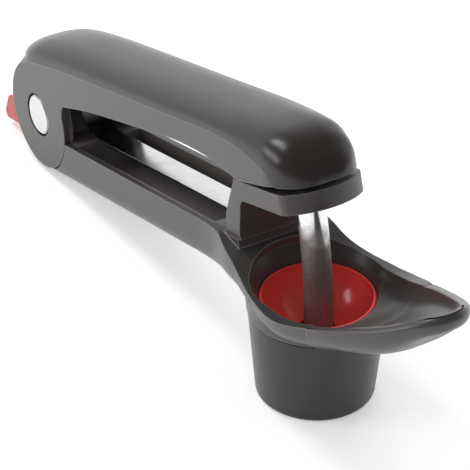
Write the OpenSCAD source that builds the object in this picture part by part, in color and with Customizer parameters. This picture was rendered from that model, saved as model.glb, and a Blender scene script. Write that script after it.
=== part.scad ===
// Lever pitter: two handles hinged at the rear, a curved plunger rod, a fruit
// seat in a spoon-shaped head and a pit cup below it. Millimetres, +Z up.
// The origin lies on the table below the cup axis; +X runs towards the spoon tip.

/* [Hinge and handles] */
// Distance from the cup axis back to the hinge pin
hinge_reach = 130.5; // [128:0.5:133]
// Height of the hinge pin above the table
hinge_h = 17.5; // [17:0.1:18]
// Width of both handles
handle_w = 24.4; // [23.8:0.1:25.2]
// Depth of the lower handle from its rim to its underside
channel_depth = 12.1; // [11.5:0.1:12.6]
// Side wall and floor of the lower handle
wall_t = 2; // [1.6:0.1:2.4]
// Radius of the round ears of the upper handle
ear_r = 16.1; // [15.8:0.1:16.2]
// Thickness of each ear
ear_t = 3; // [2.6:0.1:3.2]
// Slope of the upper handle when closed, degrees
upper_tilt = 16.1; // [16:0.1:16.3]
// Height of the parting line above the hinge line
crease_v = 17.2; // [16.8:0.1:17.8]
// Rise of the top cover above the parting line at its middle
crown_h = 5; // [4.6:0.1:5.8]
// Wall of the top cover
cover_t = 2; // [1.6:0.1:2.2]

/* [Plunger and guide] */
// Diameter of the plunger rod
rod_d = 7.5; // [6.6:0.1:7.8]
// Height of the rod tip above the table when closed
rod_tip_h = 13; // [10:0.5:15]
// Clearance of the rod in the guide plate, on the radius
rod_gap = 0.5; // [0.4:0.05:0.7]
// Slope of the guide plate, degrees
plate_tilt = 18; // [17.9:0.1:18.1]
// Thickness of the guide plate
plate_t = 5.2; // [4.8:0.1:5.3]

/* [Head, seat and cup] */
// Radius of the opening in the head
mouth_r = 17.4; // [17.1:0.1:17.6]
// Height of the edge of that opening above the table
mouth_h = 34.6; // [34.3:0.1:34.9]
// Greatest width of the head
head_w = 41.4; // [41:0.1:42.6]
// Length of the spoon in front of the cup axis
spoon_len = 59.2; // [57:0.2:61]
// Height of the spoon tip above the table
spoon_tip_h = 58.6; // [57.5:0.1:59.5]
// Radius of the fruit seat at its rim
seat_r = 15; // [14.8:0.05:15.1]
// Depth of the hollow in the fruit seat
seat_depth = 10.8; // [9:0.1:11.2]
// Radius of the hole in the fruit seat
seat_hole_r = 5.2; // [4.8:0.1:5.6]
// Radius of the cup at its foot
cup_foot_r = 15.6; // [15:0.1:15.8]
// Radius of the cup at its mouth
cup_mouth_r = 18.1; // [18:0.1:18.4]
// Height of the cup
cup_h = 25.2; // [24.9:0.05:25.3]
// Wall of the cup below its stepped mouth
cup_t = 2; // [1.6:0.1:2.4]

/* [Spring, lock and pin] */
// Width of the leaf spring
leaf_w = 7.5; // [6:0.1:8]
// Thickness of the leaf spring
leaf_t = 0.8; // [0.6:0.05:0.9]
// Diameter of the hinge pin
pin_d = 6; // [5:0.1:6.4]
// Radius of the pin heads
pin_head_r = 5.8; // [5.4:0.1:6]
// Width of the lock's finger tab
lock_w = 18.4; // [17:0.2:19.4]

/* [Hidden] */
$fn = 72;

hinge_x = -hinge_reach;
half_w = handle_w / 2;
run_gap = 0.4;               // side clearance of moving faces
rim_drop = hinge_h - channel_depth;
rod_arc_r = hinge_reach + 0.8;
rod_r = rod_d / 2;
pin_r = pin_d / 2;
bore_r = pin_r + 0.06;
knuckle_r = 8.2;
knuckle_half = half_w - ear_t - 0.6;
ear_in = half_w - ear_t;

// Bracket pad: where the post stands, on the rim line of the lower handle
pad_x = -27;
pad_rear_x = -36;
pad_z = mouth_h + 2.1;
pad_run = pad_x - hinge_x;
pad_rise = pad_z - hinge_h;
post_u = pad_run + 1.3;       // rear foot of the post, along the lower handle
post_l = 8.2;
lower_tilt = atan2(pad_rise, pad_run) + asin(rim_drop / norm([pad_run, pad_rise]));

// Colours of the four finishes
dark_plastic = [0.26, 0.25, 0.25];
mid_plastic = [0.34, 0.33, 0.33];
steel = [0.78, 0.78, 0.8];
red = [0.72, 0.1, 0.1];

// ---------------------------------------------------------------- functions

// Index of the table row that starts the stretch holding x
function row_at(p, x, i = 0) = i >= len(p) - 2 || x < p[i + 1][0] ? i : row_at(p, x, i + 1);

// Slope of the smooth curve at one table row
function slope_at(p, i) =
    let (a = max(i - 1, 0), b = min(i + 1, len(p) - 1))
    (p[b][1] - p[a][1]) / (p[b][0] - p[a][0]);

// Smooth curve through a table of [x, y] rows
function curve(p, x) =
    let (i = row_at(p, x),
         h = p[i + 1][0] - p[i][0],
         t = (x - p[i][0]) / h,
         m0 = slope_at(p, i) * h,
         m1 = slope_at(p, i + 1) * h)
    (2 * t^3 - 3 * t^2 + 1) * p[i][1] + (t^3 - 2 * t^2 + t) * m0
    + (3 * t^2 - 2 * t^3) * p[i + 1][1] + (t^3 - t^2) * m1;

// Values from a to b in equal steps of about s
function steps(a, b, s) = let (n = ceil((b - a) / s)) [for (i = [0:n]) a + (b - a) * i / n];

// Signed power, for rounded-box sections
function bend(v, e) = sign(v) * abs(v)^e;

// Half of a rounded section: [y, depth share] from one side to the other
function bow(n, k = 20) =
    [for (i = [0:k]) let (a = 180 * i / k) [bend(cos(a), 2 / n), bend(sin(a), 2 / n)]];

// Points of an arc
function arc(c, r, a0, a1, k = 8) =
    [for (i = [0:k]) let (a = a0 + (a1 - a0) * i / k) [c[0] + r * cos(a), c[1] + r * sin(a)]];

// Height of the rim and of the underside of the lower handle where it is straight
function rim_line(x) = hinge_h + (x - hinge_x) * tan(lower_tilt) - rim_drop / cos(lower_tilt);
function belly_line(x) = hinge_h + (x - hinge_x) * tan(lower_tilt) - hinge_h / cos(lower_tilt);

// ------------------------------------------------------- tables of the head

belly_h = mouth_h - 9;       // lowest point of the head's underside
mouth_drop = 1.2;            // dip of the rim at both sides of the opening
flare_x = -38;               // where the straight handle starts to flare
heel_x = hinge_x - 12;       // rear end of the lofted body

rim_table = [[pad_x - 12, rim_line(pad_x - 12)], [pad_x, pad_z], [-17, mouth_h + 1.05],
             [-11, mouth_h - 0.7], [-4, mouth_h - 1.4], [3, mouth_h - 1.2], [9, mouth_h - 0.2],
             [17, mouth_h + 2.6], [26, mouth_h + 6.1], [34, mouth_h + 9.9],
             [spoon_len - 15, spoon_tip_h - 8.5], [spoon_len - 9.2, spoon_tip_h - 4.5],
             [spoon_len - 6, spoon_tip_h - 2.2], [spoon_len - 3.6, spoon_tip_h - 0.8],
             [spoon_len - 1.8, spoon_tip_h - 1.6], [spoon_len - 0.7, spoon_tip_h - 3.4],
             [spoon_len, spoon_tip_h - 5.4]];
belly_table = [[flare_x - 8, belly_line(flare_x - 8)], [flare_x, belly_line(flare_x)],
               [-28, belly_h - 2.3], [-18, belly_h - 0.8], [0, belly_h], [10, belly_h + 0.6],
               [18, belly_h + 2.4], [27, belly_h + 6], [36, belly_h + 10.8],
               [spoon_len - 13.2, spoon_tip_h - 15.8], [spoon_len - 7.5, spoon_tip_h - 12.2],
               [spoon_len - 3.5, spoon_tip_h - 8.8], [spoon_len - 1.3, spoon_tip_h - 7],
               [spoon_len, spoon_tip_h - 6]];
width_table = [[flare_x - 8, half_w], [flare_x, half_w], [-29, half_w + 0.8],
               [-20, half_w + 3.3], [-14, head_w / 2 - 4.5], [-8, head_w / 2 - 3.3],
               [-2, head_w / 2 - 2], [5, head_w / 2 - 0.8], [11, head_w / 2 - 0.3],
               [18, head_w / 2 - 1], [26, head_w / 2 - 3], [34, head_w / 2 - 5.6],
               [spoon_len - 15, head_w / 2 - 9.4], [spoon_len - 9.2, head_w / 2 - 12.3],
               [spoon_len - 6.2, head_w / 2 - 13.8], [spoon_len - 3.2, head_w / 2 - 15.1],
               [spoon_len - 1.2, head_w / 2 - 16.6], [spoon_len - 0.3, head_w / 2 - 18.4],
               [spoon_len, head_w / 2 - 19.8]];
box_table = [[flare_x - 8, 7], [flare_x, 7], [-20, 4], [-4, 3], [20, 2.8], [spoon_len - 15, 2.6],
             [spoon_len - 6, 2.2], [spoon_len, 1.9]];

function rim_z(x) = x < pad_x - 12 ? rim_line(x) : curve(rim_table, x);
function belly_z(x) = x < hinge_x + hinge_h * sin(lower_tilt)
    ? hinge_h - sqrt(hinge_h^2 - (x - hinge_x)^2)
    : x < flare_x - 8 ? belly_line(x) : curve(belly_table, x);
function head_half(x) = x < flare_x - 8 ? half_w : curve(width_table, x);
function boxy(x) = x < flare_x - 8 ? 7 : curve(box_table, x);

bowl_rear = 1;               // rear end of the spoon's hollow, inside the opening
bowl_end = spoon_len - 3.5;
bowl_table = [[bowl_rear, mouth_h - 5.6], [14, mouth_h - 5.6], [20, mouth_h - 3.4],
              [26, mouth_h - 0.4], [36, mouth_h + 6], [spoon_len - 13.2, spoon_tip_h - 11],
              [spoon_len - 7.2, spoon_tip_h - 6.4], [bowl_end, spoon_tip_h - 3]];
bowl_half = [[bowl_rear, mouth_r + 0.1], [9, mouth_r + 0.3], [18, mouth_r - 0.3],
             [26, mouth_r - 1.3], [34, mouth_r - 3.7], [spoon_len - 15, mouth_r - 7.2],
             [spoon_len - 9.3, mouth_r - 10.5], [spoon_len - 6.3, mouth_r - 12.2],
             [spoon_len - 4.8, mouth_r - 13.6], [bowl_end, mouth_r - 15.8]];
bowl_box = [[bowl_rear, 4], [17, 3.4], [40, 2.8], [bowl_end, 2.4]];

// ---------------------------------------------------------- shared modules

// Frame of a handle: origin on the hinge pin, X along the handle, tilted up
module at_hinge(tilt)
    translate([hinge_x, 0, hinge_h])
        rotate([0, -tilt, 0])
            children();

// Side outline drawn in X and Z, pushed out to both sides of the middle plane
module side_slab(half)
    rotate([90, 0, 0])
        linear_extrude(2 * half, center = true)
            children();

// Solid through a row of closed sections of equal point count
module loft(rings) {
    m = len(rings[0]);
    last = len(rings) - 1;
    sides = [for (i = [0:last - 1], j = [0:m - 1], half = [0, 1])
        let (k = (j + 1) % m, a = i * m, b = a + m)
        half == 0 ? [a + j, a + k, b + k] : [a + j, b + k, b + j]];
    rear = [for (j = [0:m - 1]) m - 1 - j];
    front = [for (j = [0:m - 1]) last * m + j];
    polyhedron(points = [for (r = rings, p = r) p], faces = concat([rear, front], sides));
}

// Cylinder across the handles, from y0 to y1
module cross_bar(r, y0, y1)
    translate([0, y1, 0])
        rotate([90, 0, 0])
            cylinder(r = r, h = y1 - y0);

// Pan-head screw pointing up, its seat at the origin
module screw(r, length, head_r, head_t) {
    translate([0, 0, -head_t])
        difference() {
            cylinder(r = head_r, h = head_t);
            translate([0, 0, -0.1])
                cylinder(r = head_r * 0.5, h = head_t * 0.6, $fn = 6);
        }
    cylinder(r = r, h = length);
}

// -------------------------------------------------------------- lower handle

function body_ring(x) =
    let (w = head_half(x), t = rim_z(x), b = belly_z(x))
    [for (q = bow(boxy(x))) [x, w * q[0], t - (t - b) * q[1]]];

function bowl_ring(x) =
    let (w = curve(bowl_half, x), t = rim_z(x) + 6, b = curve(bowl_table, x))
    [for (q = bow(curve(bowl_box, x))) [x, w * q[0], t - (t - b) * q[1]]];

body_stations = concat(steps(heel_x, hinge_x + hinge_h * sin(lower_tilt), 2),
                       [hinge_x + 20, (hinge_x + flare_x) / 2],
                       steps(flare_x - 8, spoon_len - 15, 3), steps(spoon_len - 13.6, spoon_len - 3, 1.4),
                       steps(spoon_len - 2.2, spoon_len, 0.6));
bowl_stations = concat(steps(bowl_rear, spoon_len - 17, 3), steps(spoon_len - 15, bowl_end - 1, 1.6),
                       [bowl_end - 0.5, bowl_end]);

recess_r = ear_r + run_gap;
slot_v = -15.2;              // underside of the lock slider's slot
slot_h = 2.5;
slider_t = 2.1;
heel_u = -10.5;              // rear edge of the heel under the ears
heel_v = -12;
channel_u0 = 19.5;
channel_u1 = (pad_rear_x - hinge_x) / cos(lower_tilt) + 1;
screw_r = 1.5;
bracket_screw_y = 7;
bracket_screw_u = post_u + 4.7;
bracket_head_v = rim_drop + 6.5;
lock_screw_u = -1.5;
lock_screw_r = 1.3;

// Inside of the channel: upright walls, rounded floor corners
module channel_section() {
    w = half_w - wall_t;
    floor_z = -hinge_h + wall_t;
    corner = 2.6;
    translate([-w + corner, floor_z])
        square([2 * (w - corner), 20]);
    translate([-w, floor_z + corner])
        square([2 * w, 20]);
    for (side = [-1, 1])
        translate([side * (w - corner), floor_z + corner])
            circle(r = corner);
}

module channel_cut()
    translate([channel_u0, 0, 0])
        rotate([90, 0, 90])
            linear_extrude(channel_u1 - channel_u0)
                channel_section();

// Knuckle that carries the hinge pin, and the block below it
module knuckle()
    side_slab(knuckle_half)
        union() {
            circle(r = knuckle_r);
            translate([heel_u + 2.5, -hinge_h + 3])
                square([knuckle_r - heel_u - 2.5, hinge_h - 3]);
        }

module lower_handle()
    color(mid_plastic)
        difference() {
            union() {
                difference() {
                    loft([for (x = body_stations) body_ring(x)]);
                    at_hinge(lower_tilt)
                        translate([heel_u - 30, -30, heel_v])
                            cube([30, 60, 30]);
                }
                at_hinge(lower_tilt) {
                    knuckle();
                    // Raised seat under the front of the post
                    translate([post_u, -bracket_half, -rim_drop - 4])
                        cube([post_l, 2 * bracket_half, 4]);
                }
                // Collar over the cup and the skirt inside it
                translate([0, 0, collar_z])
                    cylinder(r1 = cup_mouth_r, r2 = cup_mouth_r + 0.6, h = 6);
                translate([0, 0, skirt_z])
                    cylinder(r = skirt_r, h = collar_z - skirt_z + 1);
            }
            at_hinge(lower_tilt) {
                channel_cut();
                // Flat seat of the bracket and the spring
                translate([channel_u1 - 4, -30, -rim_drop])
                    cube([post_u + 6 - channel_u1 + 4, 60, 10]);
                for (side = [-1, 1])
                    translate([0, side * (knuckle_half + 10), 0])
                        cross_bar(recess_r, -10, 10);
                cross_bar(bore_r, -40, 40);
                // Slot of the lock slider, open to the rear
                translate([-40, -tongue_half - 0.3, slot_v])
                    cube([40 + tongue_u1 + 0.6, 2 * tongue_half + 0.6, slot_h]);
                translate([lock_screw_u, 0, -hinge_h - 1])
                    cylinder(r = 2.6, h = 2.4);
                translate([lock_screw_u, 0, -hinge_h])
                    cylinder(r = lock_screw_r, h = 9);
                for (side = [-1, 1])
                    translate([bracket_screw_u, side * bracket_screw_y, 0]) {
                        translate([0, 0, -40])
                            cylinder(r = 3, h = 40 - bracket_head_v);
                        translate([0, 0, -20])
                            cylinder(r = screw_r + 0.1, h = 20);
                    }
            }
            loft([for (x = bowl_stations) bowl_ring(x)]);
            // Mouth: straight above its edge, tapering down to the seat
            translate([0, 0, mouth_h - mouth_drop])
                cylinder(r = mouth_r, h = 30);
            translate([0, 0, seat_z])
                cylinder(r1 = seat_r + 0.1, r2 = mouth_r, h = mouth_h - mouth_drop - seat_z + 0.01);
            translate([0, 0, shoulder_z])
                cylinder(r = seat_r + 0.1, h = seat_z - shoulder_z + 0.01);
            translate([0, 0, skirt_z - 1])
                cylinder(r = seat_body_r + 0.15, h = 20);
            // Room for the mouth of the cup round the skirt
            difference() {
                cylinder(r = cup_mouth_r + 0.4, h = collar_z);
                cylinder(r = skirt_r, h = collar_z + 1);
            }
        }

// ------------------------------------------------- seat, ring and cup

seat_z = mouth_h - 5.8;      // rim of the seat
flange_t = 3.4;
shoulder_z = seat_z - flange_t;
seat_body_r = seat_r - 0.8;
collar_z = cup_h + 0.35;     // underside of the collar that the cup meets
skirt_r = cup_mouth_r - 2.3;
skirt_z = mouth_h - 15.2;
ring_t = 1.8;
seat_foot_z = skirt_z - ring_t - 1.4;

// Red seat: flange, smooth bowl and a clipped foot round the hole
module fruit_seat()
    color(red)
        rotate_extrude() {
            bowl_r = seat_r - 0.8;
            polygon(concat(
                [[seat_hole_r + 0.5, seat_foot_z], [12.4, seat_foot_z], [12.4, seat_foot_z + 0.8],
                 [11.9, seat_foot_z + 1.1], [11.9, skirt_z], [seat_body_r, skirt_z + 0.4],
                 [seat_body_r, shoulder_z], [seat_r, shoulder_z]],
                arc([seat_r - 0.5, seat_z - 0.5], 0.5, 0, 90, 5),
                [for (i = [0:12]) let (a = 90 * i / 12)
                    [seat_hole_r + (bowl_r - seat_hole_r) * cos(a)^1.5, seat_z - seat_depth * sin(a)^1.1]],
                [[seat_hole_r, seat_z - seat_depth - 0.5]]));
        }

// Ring that clips on below the head and holds the seat down
module seat_ring()
    color(mid_plastic)
        difference() {
            translate([0, 0, skirt_z - ring_t])
                cylinder(r = skirt_r - 0.6, h = ring_t);
            translate([0, 0, skirt_z - ring_t - 1])
                cylinder(r = 12, h = ring_t + 2);
            for (a = [45:90:315])
                rotate([0, 0, a])
                    translate([skirt_r + 0.4, 0, skirt_z - ring_t - 1])
                        cylinder(r = 1.8, h = ring_t + 2);
        }

// Tapered cup with a stepped mouth, a rounded foot and a drawn-in base
module pit_cup() {
    step_z = skirt_z - ring_t - 2.2;
    slope = (cup_mouth_r - cup_foot_r) / cup_h;
    edge = 1.2;
    color(dark_plastic)
        rotate_extrude()
            polygon(concat(
                [[0, 0], [cup_foot_r - 5.4, 0], [cup_foot_r - 5, 0.5], [cup_foot_r - 3.4, 0.5],
                 [cup_foot_r - 3, 0]],
                arc([cup_foot_r - edge, edge], edge, -90, 0, 5),
                [[cup_mouth_r - 0.3, cup_h - 0.3], [cup_mouth_r - 0.5, cup_h],
                 [skirt_r + 0.35, cup_h], [skirt_r + 0.35, step_z],
                 [cup_foot_r + slope * step_z - cup_t, step_z - 1],
                 [cup_foot_r + slope * 4 - cup_t, 4]],
                arc([cup_foot_r - cup_t - 1.6, 3.8], 1.8, 0, -90, 5),
                [[0, 2]]));
}

// ------------------------------------------------------ bracket and spring

plate_v = -0.2;              // middle of the plate, off the hinge line
plate_u0 = hinge_reach - 18.5;
plate_u1 = hinge_reach + 7.5;
plate_bulge = 5;
plate_corner = 3;
bracket_half = half_w - 0.3;
slot_gap = 0.15;

// Plan of the plate: straight sides, a bowed front and rounded corners
module plate_plan() {
    bow_r = (bracket_half^2 + plate_bulge^2) / (2 * plate_bulge);
    bow_u = plate_u1 + plate_bulge - bow_r;
    corner_y = bracket_half - plate_corner;
    corner_u = bow_u + sqrt((bow_r - plate_corner)^2 - corner_y^2);
    turn = atan2(corner_y, corner_u - bow_u);
    difference() {
        intersection() {
            translate([plate_u0, -bracket_half])
                square([plate_u1 - plate_u0 + plate_bulge, 2 * bracket_half]);
            translate([bow_u, 0])
                circle(r = bow_r);
        }
        for (side = [0, 1])
            mirror([0, side])
                translate([corner_u, corner_y])
                    polygon([[0, 0], [9 * cos(turn), 9 * sin(turn)], [9, 9], [0, 9]]);
    }
    for (side = [-1, 1])
        translate([corner_u, side * corner_y])
            circle(r = plate_corner);
}

// Side outline of the post: leaning, hollowed at the rear, filleted under the plate
module post_outline() {
    top = plate_v + plate_t / 2;
    under = plate_v - plate_t / 2;
    fillet = 3.2;
    polygon(concat(
        [[post_u, -22], [post_u + post_l, -22], [post_u + post_l + 0.6, -12]],
        arc([post_u + 11 + fillet, under - fillet], fillet, 180, 90),
        [[post_u + 19.2, under], [post_u + 19.2, top], [post_u + 11.8, top]],
        arc([post_u + 11.4, top - 2.2], 2.2, 90, 135, 4),
        [[post_u + 6.4, -3.2], [post_u + 3.2, -8]]));
}

module guide_bracket()
    color(dark_plastic)
        difference() {
            union() {
                at_hinge(plate_tilt)
                    translate([0, 0, plate_v - plate_t / 2])
                        linear_extrude(plate_t)
                            plate_plan();
                intersection() {
                    at_hinge(plate_tilt)
                        side_slab(bracket_half)
                            post_outline();
                    at_hinge(lower_tilt)
                        translate([post_u - 15, -20, -rim_drop])
                            cube([60, 40, 60]);
                }
            }
            // Way of the rod
            at_hinge(0)
                rotate([90, 0, 0])
                    rotate_extrude(angle = 40)
                        translate([rod_arc_r, 0])
                            circle(r = rod_r + rod_gap);
            at_hinge(lower_tilt) {
                // Slot that clamps the leaf spring
                translate([post_u - 10, -leaf_w / 2 - slot_gap, -rim_drop - 1])
                    cube([leaf_u1 - post_u + 10 + slot_gap, leaf_w + 2 * slot_gap, leaf_t + 1]);
                for (side = [-1, 1])
                    translate([bracket_screw_u, side * bracket_screw_y, -rim_drop - 1])
                        cylinder(r = screw_r, h = 9.5);
            }
        }

module bracket_screws()
    color(steel)
        at_hinge(lower_tilt)
            for (side = [-1, 1])
                translate([bracket_screw_u, side * bracket_screw_y, -bracket_head_v])
                    screw(screw_r, bracket_head_v - rim_drop + 8, 2.7, 1.8);

leaf_u0 = 22;                // where the spring starts to turn up
leaf_u1 = post_u + 6.2;       // front end, under the post
leaf_bend_r = 12;
leaf_bend = 60;
leaf_tail = 8.6;

// Flat strip on the rim line, turned up over the knuckle at its rear end
module leaf_spring()
    color(steel)
        at_hinge(lower_tilt)
            side_slab(leaf_w / 2) {
                low = -rim_drop;
                mid = [leaf_u0, low + leaf_bend_r];
                a1 = -90 - leaf_bend;
                outer = arc(mid, leaf_bend_r, -90, a1, 12);
                inner = arc(mid, leaf_bend_r - leaf_t, a1, -90, 12);
                along = [-cos(leaf_bend), sin(leaf_bend)] * leaf_tail;
                polygon(concat([[leaf_u1, low + leaf_t], [leaf_u1, low]], outer,
                               [outer[12] + along, inner[0] + along], inner));
            }

// -------------------------------------------------------------- upper handle

rear_r = 20.5;               // reach of the bowed rear end behind the hinge pin
rear_plan_r = 18.5;          // radius of its bow from side to side
nose_u = hinge_reach - 0.1;    // centre of the nose in plan
nose_len = 12.2;
nose_end = hinge_reach + 4.3;
nose_v = 8.5;
web_t = 2.2;
crease_end = nose_u - 23.4;    // where the parting line turns down to the nose

crease_table = [[-16, crease_v - 1], [0, crease_v - 1], [10, crease_v - 0.6], [25, crease_v],
                [90, crease_v], [crease_end, crease_v], [nose_u - 14.4, crease_v - 0.8],
                [nose_u - 8.4, crease_v - 1.9], [nose_u - 2.4, crease_v - 3.7],
                [nose_u + 1.6, crease_v - 5.6],
                [nose_end, nose_v]];
arch_end = nose_u - 13;
arch_table = [[18, 6], [36, 8], [55, 9.1], [72, 10], [84, 10.7], [97, 10.3], [arch_end - 10.4, 9.1],
              [arch_end, 6.5]];

function crease(u) = u < nose_end ? curve(crease_table, u) : nose_v;

// Plan of the upper handle: parallel sides and a round nose
module upper_plan(inset = 0) {
    half = half_w - inset;
    translate([-rear_r, -half])
        square([nose_u + rear_r, 2 * half]);
    translate([nose_u, 0])
        circle(r = half);
}

// Barrel about the hinge pin that shapes the bowed rear end
module rear_barrel(inset = 0)
    rotate([90, 0, 0])
        rotate_extrude()
            intersection() {
                translate([rear_r - rear_plan_r, 0])
                    circle(r = rear_plan_r - inset);
                translate([0, -half_w])
                    square([rear_r, 2 * half_w]);
            }

module upright(v0, v1)
    translate([0, 0, v0])
        linear_extrude(v1 - v0)
            children();

// Side outline of the cheeks above the grip arch
module cheek_outline() {
    arch = [for (u = steps(18, arch_end, 5)) [u, curve(arch_table, u)]];
    top = concat([for (u = cover_stations) if (u >= 0 && u < nose_end - 0.5) [u, crease(u)]],
                 [[nose_end, nose_v]]);
    polygon(concat([[0, 0], [ear_r - 0.4, 0], [ear_r - 0.1, 2.2], [ear_r + 0.7, 4.4]], arch,
                   [for (i = [len(top) - 1:-1:0]) top[i]]));
}

// Inside of the shell, open upwards, with the web left under it
module shell_inside() {
    arch = [for (u = steps(20, arch_end, 5)) [u, curve(arch_table, u) + web_t]];
    polygon(concat([[-30, -40], [18, -40], [18, curve(arch_table, 20) + web_t]], arch,
                   [[nose_end + 5, nose_v + web_t + 0.6], [nose_end + 5, 40], [-30, 40]]));
}

rear_foot_v = -2.4;           // lower edge of the rear wall
rear_wall_t = 2.2;
boss_us = [42, 94];
boss_r = 3.2;
cover_screw_l = 7.4;
block_u = rod_arc_r - 0.9;
block_top = 15;
rod_pin_v = block_top - 1.6;
rod_pin_r = 0.9;
block_foot_t = 2.4;
block_screw_u = block_u - 9.4;
block_screw_y = 5;
floor_top = nose_v + web_t;
nose_floor_u = nose_u + 8.1;

// Way of the rod in the frame of the upper handle
module rod_path(r, a0, a1)
    rotate([90, 0, 0])
        rotate([0, 0, a0])
            rotate_extrude(angle = a1 - a0)
                translate([rod_arc_r, 0])
                    circle(r = r);

module upper_handle()
    color(mid_plastic)
        at_hinge(upper_tilt)
            difference() {
                union() {
                    intersection() {
                        side_slab(half_w)
                            union() {
                                circle(r = ear_r);
                                cheek_outline();
                            }
                        upright(-20, 40)
                            upper_plan();
                    }
                    intersection() {
                        rear_barrel();
                        translate([-30, -20, rear_foot_v])
                            cube([30.01, 40, crease(0) - rear_foot_v]);
                    }
                    // Nose floor that the rod block stands on
                    intersection() {
                        upright(nose_v - 0.6, floor_top)
                            upper_plan(cover_t + 0.4);
                        translate([arch_end + 0.6, -20, nose_v - 3])
                            cube([nose_floor_u - arch_end - 0.6, 40, 6]);
                        side_slab(20)
                            polygon([[arch_end - 0.4, 6.4], [nose_end, nose_v], [nose_end + 6, nose_v],
                                     [nose_end + 6, 20], [arch_end - 0.4, 20]]);
                    }
                }
                difference() {
                    side_slab(ear_in)
                        shell_inside();
                    // Rear wall between the ears
                    difference() {
                        translate([-30, -20, rear_foot_v])
                            cube([28, 40, 40]);
                        rear_barrel(rear_wall_t);
                    }
                    // Stop rib that the leaf spring leans on
                    translate([3.6, -ear_in - 1, 8.75])
                        cube([5, 2 * ear_in + 2, 8.2]);
                    upright(nose_v - 0.6, floor_top)
                        intersection() {
                            upper_plan(cover_t + 0.4);
                            translate([arch_end - 5.4, -20])
                                square([nose_floor_u - arch_end + 5.4, 40]);
                        }
                }
                cross_bar(bore_r, -40, 40);
                for (side = [-1, 1])
                    translate([0, side * (half_w - 1.6 + 5), 0])
                        cross_bar(pin_head_r + 0.8, -5, 5);
                for (u = boss_us) {
                    translate([u, 0, 0])
                        cylinder(r = 1.4, h = 30);
                    translate([u, 0, 0])
                        cylinder(r = 2.8, h = curve(arch_table, u) + 0.9);
                }
                for (side = [-1, 1])
                    translate([block_screw_u, side * block_screw_y, nose_v - 0.9])
                        cylinder(r = 1, h = 9);
                rod_path(rod_r + 0.15, 2, 9);
            }

// --------------------------------------------------------------- top cover

rear_plan = rear_plan_r - rear_r;
ridge_table = [[-12.8, crease_v - 0.7], [-12, crease_v + 0.3], [-9.5, crease_v + crown_h - 2.9],
               [-6, crease_v + crown_h - 1.7], [-2, crease_v + crown_h - 0.7],
               [4, crease_v + crown_h + 0.1], [12, crease_v + crown_h + 0.5],
               [30, crease_v + crown_h + 0.5], [60, crease_v + crown_h + 0.2],
               [100, crease_v + crown_h - 0.2], [nose_u - 10.4, crease_v + crown_h - 0.4],
               [nose_u - 1.4, crease_v + crown_h - 1], [nose_u + 3.6, crease_v + crown_h - 2.2],
               [nose_u + 7.6, crease_v + crown_h - 4.4], [nose_u + 10.2, crease_v - 2.4],
               [nose_u + 11.6, crease_v - 5.4], [nose_u + nose_len - 0.1, nose_v + 1]];
arris_table = [[-12.8, 2.2], [10, 2.5], [nose_u - 12.4, 2.5], [nose_u + 3.6, 3.1],
               [nose_u + nose_len, 3.4]];

// Half-width of the cover: bowed at the rear, parallel, then a full round nose
function cover_half(u, half) =
    u < 0 ? sqrt(max(0.3, (rear_plan_r - half_w + half)^2 - (rear_plan + norm([u, crease(0)]))^2))
    : u < nose_u ? half
    : half * max(0.02, 1 - ((u - nose_u) / nose_len)^2.6)^(1 / 2.6);

function cover_ring(u, inset) =
    let (w = cover_half(u + (u < 0 ? 0 : inset * 0.6), half_w - inset),
         c = crease(u) - (inset > 0 ? 2 : 0),
         r = max(curve(ridge_table, u) - inset, c + 0.3))
    [for (q = bow(curve(arris_table, u))) [u, -w * q[0], c + (r - c) * q[1]]];

cover_stations = concat([-12.8, -12.3, -11.4, -10, -8, -5.5, -3, 0], steps(5, 95, 9),
                        steps(100, nose_u - 0.4, 3), steps(nose_u + 1.1, nose_u + 10.1, 1.5),
                        [nose_u + 10.8, nose_u + 11.4, nose_u + 11.8, nose_u + nose_len - 0.1]);
cover_inside = concat([-9, -7, -4, 0], steps(5, 95, 9), steps(100, nose_u - 0.4, 3),
                      steps(nose_u + 1.1, nose_u + 8, 1.4));

module top_cover()
    color(dark_plastic)
        at_hinge(upper_tilt)
            difference() {
                union() {
                    difference() {
                        loft([for (u = cover_stations) cover_ring(u, 0)]);
                        loft([for (u = cover_inside) cover_ring(u, cover_t)]);
                    }
                    // Locating lips inside the cheeks
                    for (side = [-1, 1])
                        translate([14, side * (ear_in - 0.9) - 0.6, crease_v - 1.8])
                            cube([84, 1.2, 3.2]);
                    for (u = boss_us)
                        translate([u, 0, curve(arch_table, u) + web_t + 0.05])
                            cylinder(r = boss_r, h = curve(ridge_table, u) - curve(arch_table, u) - web_t - 1);
                }
                for (u = boss_us)
                    translate([u, 0, 0])
                        cylinder(r = 1.25, h = curve(arch_table, u) + 0.9 + cover_screw_l + 0.4);
            }

module cover_screws()
    color(steel)
        at_hinge(upper_tilt)
            for (u = boss_us)
                translate([u, 0, curve(arch_table, u) + 0.9])
                    screw(1.2, cover_screw_l, 2.5, 1.6);

// ------------------------------------------------------------ plunger group

rod_a0 = asin((rod_tip_h - hinge_h) / rod_arc_r) - upper_tilt;
rod_a1 = asin(block_top / rod_arc_r) - 0.2;

// Rod bent to an arc about the hinge, with a chamfered tip
module plunger_rod()
    color(steel)
        at_hinge(upper_tilt)
            difference() {
                rod_path(rod_r, rod_a0, rod_a1);
                translate([block_u, 0, rod_pin_v])
                    cross_bar(rod_pin_r, -10, 10);
                translate([rod_arc_r * cos(rod_a0), 0, rod_arc_r * sin(rod_a0)])
                    rotate([0, 180 - rod_a0, 0])
                        rotate_extrude()
                            polygon([[rod_r - 1, 0.1], [rod_r + 1, 0.1], [rod_r + 1, -1.9]]);
            }

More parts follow.
